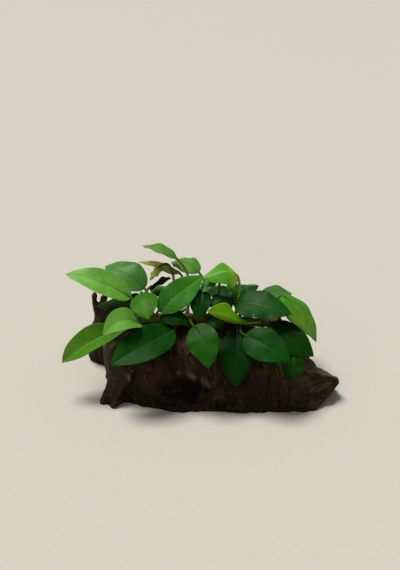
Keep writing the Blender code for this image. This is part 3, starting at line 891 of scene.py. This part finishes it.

# node: x on its rhizome; base, tip: ends of the blade; face: the way its upper side looks
# arch, bend: bow of the midrib up and sideways, as parts of its length; lean: bow nearer the base
# fold: degrees each half is lifted; belly: where it is widest; wave: height of the margin's waves
# lobe, notch: how far the margins run back past the base or on past the tip, as parts of the length
# shade: darker below 1 and lighter above, for all or for red, green and blue; partly the leaf's own tone,
# partly painted shade or light for how much light reaches the leaf; paint: a body colour of its own, on
# some leaves also painted light or shade
# stalk: a stalk colour of its own; rib: brightness of the midrib, below 1 painted shade in its groove and
# above 1 the midrib's own paler colour; veinShow: how much the veins show
# gloss: strength of the sheen; blush: a painted glow of light shining through near the base: its colour,
# where it starts and where it ends
# rimColour: a colour along the margin
leaves = {
    "left_1": dict(
        node=-51, base=(-57, -1, 77), tip=(-107, 8, 92), width=23, face=(0, -0.6, 1),
        arch=0.12, fold=14, tone="fresh",
        rib=0.6, gloss=0.17, veinShow=0.45,
    ),
    "left_2": dict(
        node=-40.5, base=(-46, 14, 78), tip=(-78, 34, 87), width=27, face=(0.1, -0.5, 1),
        arch=0.16, fold=4, tone="blue",
        rib=0.55, gloss=0.20,
    ),
    "left_3": dict(
        node=-58, base=(-56, -2, 65), tip=(-83, 3, 66), width=20, face=(0, -0.1, 1),
        arch=0.12, fold=0, tone="deep",
        shade=(2.0, 1.0, 1.2),
    ),
    "left_4": dict(
        node=-48.5, base=(-46, -2, 79.8), tip=(-40, -26, 68.8), width=23, face=(-0.2, -0.5, 1),
        arch=0.1, fold=-8, tone="mid",
        shade=(1.05, 0.84, 0.55), rib=1.1, gloss=0.07,
    ),
    "left_5": dict(
        node=-45, base=(-40, 18.6, 76), tip=(-24, 30, 78), width=20, face=(0, 1, 0.8),
        arch=0.06, fold=0, tone="deep",
        paint=(0.035, 0.065, 0.005),
    ),
    "left_6": dict(
        node=-24, base=(-18, 30, 84), tip=(-50, 34, 91), width=13, face=(0.2, -0.2, 1),
        arch=0.16, fold=-55, tone="old",
        # its paint is far lighter than its own colour: painted light shining through it
        paint=(0.54, 0.52, 0.11), rib=0.5,
    ),
    "left_7": dict(
        node=-55, base=(-47.6, -22, 63.8), tip=(-74.6, -36, 60.8), width=24, face=(-0.2, -0.6, 1),
        arch=0.28, fold=20, tone="fresh",
        shade=0.76,
    ),
    "left_8": dict(
        node=-62, base=(-55, -15, 57), tip=(-108, -30, 33), width=26, face=(-0.2, -0.6, 1),
        arch=0.03, bend=0.05, fold=26, belly=0.56, tone="mid",
        shade=(1.35, 0.90, 0.4), rib=1.7,
    ),
    "left_9": dict(
        node=-20, base=(-33, 27, 90), tip=(-41, 22, 80), width=9, face=(-0.6, -0.6, 1),
        arch=0.1, fold=-20, tone="blue",
        paint=(0.20, 0.30, 0.03),
    ),
    "front_1": dict(
        node=-22, base=(-22, -28, 58.4), tip=(-67, -56, 46), width=31, face=(-0.1, -0.7, 1),
        arch=0.05, fold=12, belly=0.4, tone="deep",
        shade=(0.95, 1.05, 0.9), gloss=0.035,
    ),
    "front_2": dict(
        node=27, base=(29, -26, 57.5), tip=(27, -54, 25), width=28, face=(-0.1, -1, 0.5),
        arch=0.08, fold=8, tone="mid",
        shade=(0.06, 0.135, 0.06), gloss=0.05, lobe=0,
    ),
    "front_3": dict(
        node=-6, base=(-4, -32, 65), tip=(6, -56, 43), width=25, face=(-0.1, -1, 0.7),
        arch=0.08, bend=-0.08, fold=0, tone="fresh",
        shade=(0.075, 0.21, 0.04), rib=1.2, gloss=0.07,
    ),
    "centre_1": dict(
        node=-29, base=(-30, -13, 65), tip=(-8, -20, 61), width=20, face=(0, -0.2, 1),
        arch=0.15, fold=0, tone="deep",
        shade=(0.3, 0.6, 0.4), gloss=0.05,
    ),
    "centre_2": dict(
        node=-34, base=(-31, -13, 71), tip=(2, 2, 93), width=23, face=(0.2, -1, 0.9),
        arch=0.06, fold=10, belly=0.4, tone="mid",
        rib=1.8, veinShow=0.5,
    ),
    "centre_3": dict(
        node=12, base=(11.5, 8, 90.7), tip=(2.5, -6, 82.7), width=14, face=(-0.5, -0.6, 1),
        arch=0.05, fold=0, tone="pale",
    ),
    "centre_4": dict(
        node=-3, base=(2, -4, 82), tip=(-2, -20, 66), width=17, face=(-0.1, -1, 0.6),
        arch=0.06, fold=5, tone="deep",
        shade=(0.4, 0.7, 0.5), gloss=0.05,
    ),
    "centre_5": dict(
        node=22, base=(25, 3, 73), tip=(7, -13.2, 73), width=16.5, face=(0, -0.4, 1),
        arch=0.2, fold=-12, tone="deep",
        shade=(1.4, 0.8, 1.0), gloss=0.06,
    ),
    "centre_6": dict(
        node=31, base=(35, 6, 70), tip=(22, 18, 79), width=14, face=(0.2, -0.8, 1),
        arch=0.05, fold=0, tone="deep",
        paint=(0.020, 0.085, 0.006),
    ),
    "centre_7": dict(
        node=19, base=(17, -14, 62.5), tip=(4, -20, 60.5), width=13, face=(0, -0.7, 1),
        arch=0.1, fold=0, tone="deep",
        shade=(0.8, 0.6, 0.5), gloss=0.05,
    ),
    "top_1": dict(
        node=-10, base=(-20, 25, 99), tip=(-47, 35, 105), width=16, face=(0, 0, 1),
        arch=0.1, fold=5, belly=0.42, tone="blue",
        shade=(1.7, 1.2, 1.1), rib=0.8,
    ),
    "top_2": dict(
        node=3, base=(-2, 24, 87.4), tip=(-24, 42, 87.4), width=21, face=(0.4, -0.5, 1),
        arch=0.18, fold=-5, tone="blue",
        shade=(1.65, 1.2, 1.1), rib=0.5,
    ),
    "top_3": dict(
        node=28, base=(30, 8, 90), tip=(2, -2, 93), width=24, face=(0, -0.6, 1),
        arch=0.24, lean=0.7, fold=-18, belly=0.3, tone="fresh",
        shade=(0.6, 0.84, 0.45), backlitGlow=((0.34, 0.62, 0.03), 0.10, 0.42), stalk=(0.26, 0.46, 0.03),
    ),
    "young_1": dict(
        node=47, base=(41, -13, 59.2), tip=(8, -24, 73.2), width=27, face=(0, -0.2, 1),
        arch=-0.09, fold=48, belly=0.68, tone="young",
        notch=0.10, stalk=(0.22, 0.38, 0.02),
    ),
    "right_1": dict(
        node=36.5, base=(28, -5, 73), tip=(71, -20, 70), width=27, face=(0, -0.6, 1),
        arch=0.1, fold=4, tone="blue",
        shade=(0.125, 0.315, 0.150), rib=1.9, gloss=0.06, wave=1.0, lobe=0,
    ),
    "right_2": dict(
        node=51, base=(52, 15, 68), tip=(76, 29, 65), width=19, face=(0, -0.4, 1),
        arch=0.12, fold=0, tone="deep",
        paint=(0.058, 0.185, 0.032),
    ),
    "right_3": dict(
        node=61, base=(68, 10, 71), tip=(94, -6, 38), width=24, face=(0.8, -0.5, 1),
        arch=0.12, fold=0, tone="mid",
        shade=(1.9, 1.35, 1.2), veinShow=0.4,
    ),
    "right_4": dict(
        node=63, base=(66, -10, 70.6), tip=(91.5, -17, 46.4), width=15, face=(0.3, -0.4, 1),
        arch=0.08, fold=0, tone="olive",
        rimColour=(0.13, 0.075, 0.012),
    ),
    "right_5": dict(
        node=54, base=(55, -18, 58), tip=(88, -36, 42), width=27, face=(0.2, -0.9, 1),
        arch=0.06, fold=0, tone="deep",
        shade=(0.9, 0.65, 0.6), gloss=0.05,
    ),
    "right_6": dict(
        node=33, base=(36, -35, 59), tip=(68, -55, 49), width=27, face=(0, -1.1, 1),
        arch=0.08, fold=4, tone="mid",
        shade=(0.11, 0.29, 0.12), rib=1.9, gloss=0.06,
    ),
    "right_7": dict(
        node=59, base=(72.5, -36, 43), tip=(68.5, -55, 31), width=19, face=(0, -1, 0.6),
        arch=0.06, fold=0, tone="deep",
        shade=(0.8, 0.7, 0.6), gloss=0.06,
    ),
    "right_8": dict(
        node=49, base=(56, -42, 43), tip=(50, -51, 34), width=10, face=(0, -1, 0.6),
        arch=0.05, fold=10, tone="old",
        shade=(0.16, 0.20, 0.10), gloss=0.05,
    ),
    "back_1": dict(
        node=-53, base=(-58, 16, 75), tip=(-70, 50, 66), width=24, face=(0, 0.5, 1),
        arch=0.1, fold=4, tone="deep",
        shade=1.4,
    ),
    "back_2": dict(
        node=-27, base=(-30, 22, 66), tip=(-30, 58, 56), width=25, face=(0, 0.5, 1),
        arch=0.12, fold=4, tone="mid",
        shade=(0.4, 0.6, 0.4),
    ),
    "back_3": dict(
        node=-1, base=(6, 22, 66), tip=(14, 56, 58), width=24, face=(0, 0.5, 1),
        arch=0.12, fold=0, tone="deep",
        shade=1.1,
    ),
    "back_4": dict(
        node=41, base=(38, 22, 70), tip=(40, 50, 62), width=20, face=(0, 0.3, 1),
        arch=0.1, fold=4, tone="deep",
        shade=1.5,
    ),
    "back_5": dict(
        node=65, base=(66, 16, 60), tip=(86, 38, 44), width=20, face=(0.4, 0.4, 1),
        arch=0.12, fold=0, tone="deep",
        shade=1.3,
    ),
    "back_6": dict(
        node=15, base=(13, 14, 69), tip=(37, 25, 65), width=22, face=(0, -0.3, 1),
        arch=0.12, fold=0, tone="deep",
        shade=0.9,
    ),
    "back_7": dict(
        node=-17, base=(-10, 12, 64), tip=(-24, 34, 60), width=20, face=(0, 0, 1),
        arch=0.1, fold=0, tone="deep",
        shade=0.9,
    ),
}


def rhizomeAt(x):
    for name in rhizomes:
        line = rhizomeLine(name)
        for near, far in zip(line, line[1:]):
            if near[0] <= x <= far[0]:
                return near + (far - near) * (x - near[0]) / (far[0] - near[0]), unit(far - near)


def bladeFrame(row):
    base, tip = np.array(row["base"], float), np.array(row["tip"], float)
    length = np.linalg.norm(tip - base)
    along = (tip - base) / length
    up = np.array(row["face"], float)
    up = unit(up - along * (up @ along))
    return base, along, np.cross(along, up), up, length


def midrib(row, t):
    base, along, side, up, length = bladeFrame(row)
    t = np.asarray(t, float)[..., None]
    bow = 4 * t * (1 - t) * (1 + row.get("lean", 0) * (1 - 2 * t)) * length
    return base + along * length * t + up * row["arch"] * bow + side * row.get("bend", 0) * bow


def halfWidth(row, t):
    belly, falloff = row.get("belly", blade["belly"]), blade["falloff"]
    swell = falloff * belly / (1 - belly)
    peak = belly**swell * (1 - belly) ** falloff
    return row["width"] / 2 * t**swell * (1 - t) ** falloff / peak


def veinLine(t, u):
    # 1 on a main vein, 0 between
    phase = (t - blade["veinSweep"] * np.abs(u) ** 1.3) * blade["veins"] + np.where(u > 0, 0.5, 0)
    gap = np.abs(phase - np.round(phase))
    return np.exp(-((gap / 0.09) ** 2)) * np.clip(1.15 - np.abs(u), 0, 1) * np.clip(np.abs(u) * 8, 0, 1)


def bladeMesh(row, seed):
    # grids of points for the upper and the under side; t runs from base to tip, u from margin to margin
    rows, columns = blade["along"], blade["across"]
    t = 0.5 - 0.5 * np.cos(np.linspace(0, math.pi, rows + 1))
    t = np.clip(t, 0.0005, 0.9995)
    even = np.linspace(-1, 1, columns + 1)
    u = np.sin(even * math.pi / 2) * 0.35 + even * 0.65
    gridT, gridU = np.meshgrid(t, u, indexing="ij")
    margin = np.abs(gridU)
    centre = midrib(row, t)
    along = unit(np.gradient(centre, t, axis=0))
    up = bladeFrame(row)[3]
    up = unit(up - along * (along @ up)[:, None])
    side = np.cross(along, up)
    half = np.maximum(halfWidth(row, t), 0.15)[:, None]
    fold = math.radians(row["fold"])
    out = half * gridU
    lift = half * margin**1.25 * math.sin(fold)
    lift -= blade["cup"] * half * margin**2.4
    waves = row.get("wave", blade["wave"]) * margin**2 * np.sin(math.pi * gridT)
    turns = 1.6 + 0.5 * (seed % 3)
    start = seed * 1.9
    lift += waves * np.sin(2 * math.pi * turns * gridT + start + np.where(gridU > 0, 1.4, 0))
    lift += blade["ripple"] * margin * np.sin(9 * gridT + seed) * np.cos(3 * gridU + seed)
    lift -= blade["groove"] * np.exp(-((out / 0.8) ** 2)) * (1 - gridT) ** 0.5
    lift -= blade["veinDepth"] * veinLine(gridT, gridU)
    sideways = side[:, None] * (out * math.cos(fold))[..., None]
    points = centre[:, None] + sideways + up[:, None] * lift[..., None]
    reach = row.get("notch", 0) * margin**1.5 * gridT**6
    reach = reach - row.get("lobe", blade["lobe"]) * margin**1.5 * (1 - gridT) ** 5
    points += along[:, None] * (bladeFrame(row)[4] * reach)[..., None]
    across, down = np.gradient(points, axis=1), np.gradient(points, axis=0)
    normal = unit(np.cross(down, across))
    normal *= np.sign(np.sum(normal * up[:, None], axis=(0, 1, 2)))
    keel = blade["keel"] * np.exp(-((out / 0.9) ** 2)) * (1 - 0.85 * gridT)
    thick = blade["thick"] * (1 - 0.6 * margin**3) + keel
    under = points - normal * np.minimum(thick, 0.2 + half * 0.8)[..., None]
    return gridT, gridU, points, under


def leafMesh(row, seed):
    gridT, gridU, top, under = bladeMesh(row, seed)
    rows, columns = gridT.shape
    count = rows * columns
    grid = np.arange(count).reshape(rows, columns)
    faces = []
    for i in range(rows - 1):
        for j in range(columns - 1):
            a, b, c, d = grid[i, j], grid[i, j + 1], grid[i + 1, j + 1], grid[i + 1, j]
            faces.append((a, b, c, d))
            faces.append((a + count, d + count, c + count, b + count))
    rim = [*grid[0, :], *grid[1:, -1], *grid[-1, -2::-1], *grid[-2:0:-1, 0]]
    for a, b in zip(rim, rim[1:] + rim[:1]):
        faces.append((a, a + count, b + count, b))
    stalk, walk, radii = stalkLine(row)
    stalkPoints, stalkFaces = sweep(stalk, radii, blade["stalkSides"])
    faces += [tuple(i + 2 * count for i in face) for face in stalkFaces]
    points = np.concatenate([top.reshape(-1, 3), under.reshape(-1, 3), stalkPoints])
    # 0 on the upper side, 1 on the under side, 2 on the stalk
    kinds = np.concatenate([np.zeros(count), np.ones(count), np.full(len(stalkPoints), 2)])
    stalkT = np.append(np.repeat(walk, blade["stalkSides"]), [0, 1])
    flatU = np.concatenate([gridU.reshape(-1), gridU.reshape(-1), np.zeros(len(stalkPoints))])
    flatT = np.concatenate([gridT.reshape(-1), gridT.reshape(-1), stalkT])
    return points, [tuple(int(i) for i in face) for face in faces], kinds, flatU, flatT


def stalkLine(row):
    # from inside the rhizome to the blade, then on under the midrib
    spot, way = rhizomeAt(row["node"])
    base = np.array(row["base"], float)
    out = base - spot
    out = unit(out - way * (out @ way))
    start = spot + out * (stem["radius"] - blade["stalkSunk"])
    inward = unit(midrib(row, 0.01) - base)
    reach = np.linalg.norm(base - start)
    handles = (start, start + out * reach * blade["rise"], base - inward * reach * blade["bow"], base)
    s = np.linspace(0, 1, 30)[:, None]
    line = sum(k * h * s**i * (1 - s) ** (3 - i) for i, (k, h) in enumerate(zip((1, 3, 3, 1), handles)))
    t = np.linspace(0.03, 0.30, 8)
    up = bladeFrame(row)[3]
    line = np.concatenate([line, midrib(row, t) - up * 0.55 * np.minimum(1, t * 12)[:, None]])
    walk = np.linspace(0, 1, len(line))
    underBlade = 0.79  # from here on the stalk tapers into the midrib
    radii = blade["stalk"] + (blade["neck"] - blade["stalk"]) * np.minimum(1, walk * 1.25)
    taper = np.where(walk > underBlade, 1 - 3.6 * (walk - underBlade), 1)
    radii = radii * (1 + blade["flare"] * np.exp(-walk * 22)) * taper
    return line, walk, radii


def leafFinish(name, row):
    body, blotch, veinColour, below, rough = leafTones[row["tone"]]
    if "paint" in row:
        body, blotch, veinColour, below = [np.array(row["paint"]) * k for k in (1, 0.75, 1.35, 0.7)]
    # shade holds the leaf's own tone together with painted shade or light
    shade = np.ones(3) * row.get("shade", 1)
    colours = [np.array(colour) * shade for colour in (body, blotch, veinColour, below)]
    body, blotch, veinColour, below = [tuple(colour) for colour in colours]
    # a midrib darker than the body is painted shade in its groove
    ribColour = tuple(np.array(body) * row.get("rib", blade["rib"]))
    plainStalk = np.array(below) * 0.35 + np.array(blade["stalkColour"]) * 0.65
    stalkColour = row.get("stalk", tuple(plainStalk))
    f = Finish(name)
    kind, u, t = f.value("leafKind"), f.math("ABSOLUTE", f.value("leafAcross")), f.value("leafAlong")
    half = f.math("MULTIPLY", f.math("GREATER_THAN", f.value("leafAcross"), 0), 0.5)
    sweepBack = f.math("MULTIPLY", f.math("POWER", u, 1.3), blade["veinSweep"])
    phase = f.math("ADD", f.math("MULTIPLY", f.math("SUBTRACT", t, sweepBack), blade["veins"]), half)
    gap = f.math("PINGPONG", phase, 0.5)
    veins = f.ramp(gap, 0.0, 0.13, 1, 0)
    fineGap = f.math("PINGPONG", f.math("MULTIPLY", phase, blade["fineVeins"]), 0.5)
    fineVeins = f.ramp(fineGap, 0.0, 0.30, 1, 0)
    rib = f.ramp(u, 0.015, 0.075, 1, 0)
    cloud = f.noise(f.place(), 95, 3, 0.55, 0.3)
    speck = f.noise(f.place(), 620, 2, 0.6)
    colour = f.mix(f.ramp(cloud, 0.35, 0.65), blotch, body)
    # painted sheen: lighter towards the tip and in soft clouds
    paintedSheenTowardsTip = f.ramp(f.math("ADD", t, f.math("MULTIPLY", cloud, 0.5)), 0.45, 1.2, 0, 0.45)
    colour = f.mix(paintedSheenTowardsTip, colour, veinColour)
    colour = f.mix(f.ramp(speck, 0.55, 0.80, 0, 0.25), colour, veinColour)
    colour = f.mix(f.math("MULTIPLY", fineVeins, 0.12), colour, blotch)
    colour = f.mix(f.math("MULTIPLY", veins, row.get("veinShow", blade["veinShow"])), colour, veinColour)
    colour = f.mix(f.math("MULTIPLY", rib, f.ramp(t, 0.2, 1.0, 0.85, 0.25)), colour, ribColour)
    # paler margin: partly the leaf's own pale edge, partly a painted edge highlight
    colour = f.mix(f.ramp(u, 0.95, 1.0, 0, 0.45), colour, veinColour)
    # painted glow of light shining through the blade near its base
    if "backlitGlow" in row:
        backlitGlow, start, end = row["backlitGlow"]
        colour = f.mix(f.ramp(t, start, end, 0.85, 0), colour, backlitGlow)
    if "rimColour" in row:
        rim = f.ramp(f.math("ADD", u, f.math("MULTIPLY", cloud, 0.2)), 0.96, 1.06, 0, 0.9)
        colour = f.mix(rim, colour, row["rimColour"])
    underside = f.mix(f.math("MULTIPLY", veins, 0.3), below, veinColour)
    colour = f.mix(f.ramp(kind, 0.4, 0.6), colour, underside)
    colour = f.mix(f.ramp(kind, 1.4, 1.6), colour, stalkColour)
    f.feed(f.shader.inputs["Base Color"], colour)
    f.shader.inputs["Specular IOR Level"].default_value = row.get("gloss", blade["gloss"])
    f.feed(f.shader.inputs["Roughness"], f.ramp(cloud, 0.3, 0.7, rough - 0.06, rough + 0.08))
    height = f.math("ADD", f.math("MULTIPLY", speck, 0.5), f.math("MULTIPLY", fineVeins, -0.35))
    f.bump(height, 0.14, 0.5)
    return f.material


def makeLeaves():
    for seed, (key, row) in enumerate(leaves.items()):
        words = key.split("_")
        name = "leaf" + words[0].capitalize() + words[1]
        points, faces, kinds, u, t = leafMesh(row, seed)
        piece = addPiece(name, points * mm, faces, True)
        keepValues(piece.data, "leafKind", kinds)
        keepValues(piece.data, "leafAcross", u)
        keepValues(piece.data, "leafAlong", t)
        piece.data.materials.append(leafFinish(name, row))
        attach(piece, "root")
        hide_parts("leaf_" + key)
    print("leaves:", len(leaves))


# Everything together.

makeRoom()
woodMesh = makeWood()
placeWood(woodMesh)
makeRhizomes()
makeRoots(woodMesh)
makeLeaves()
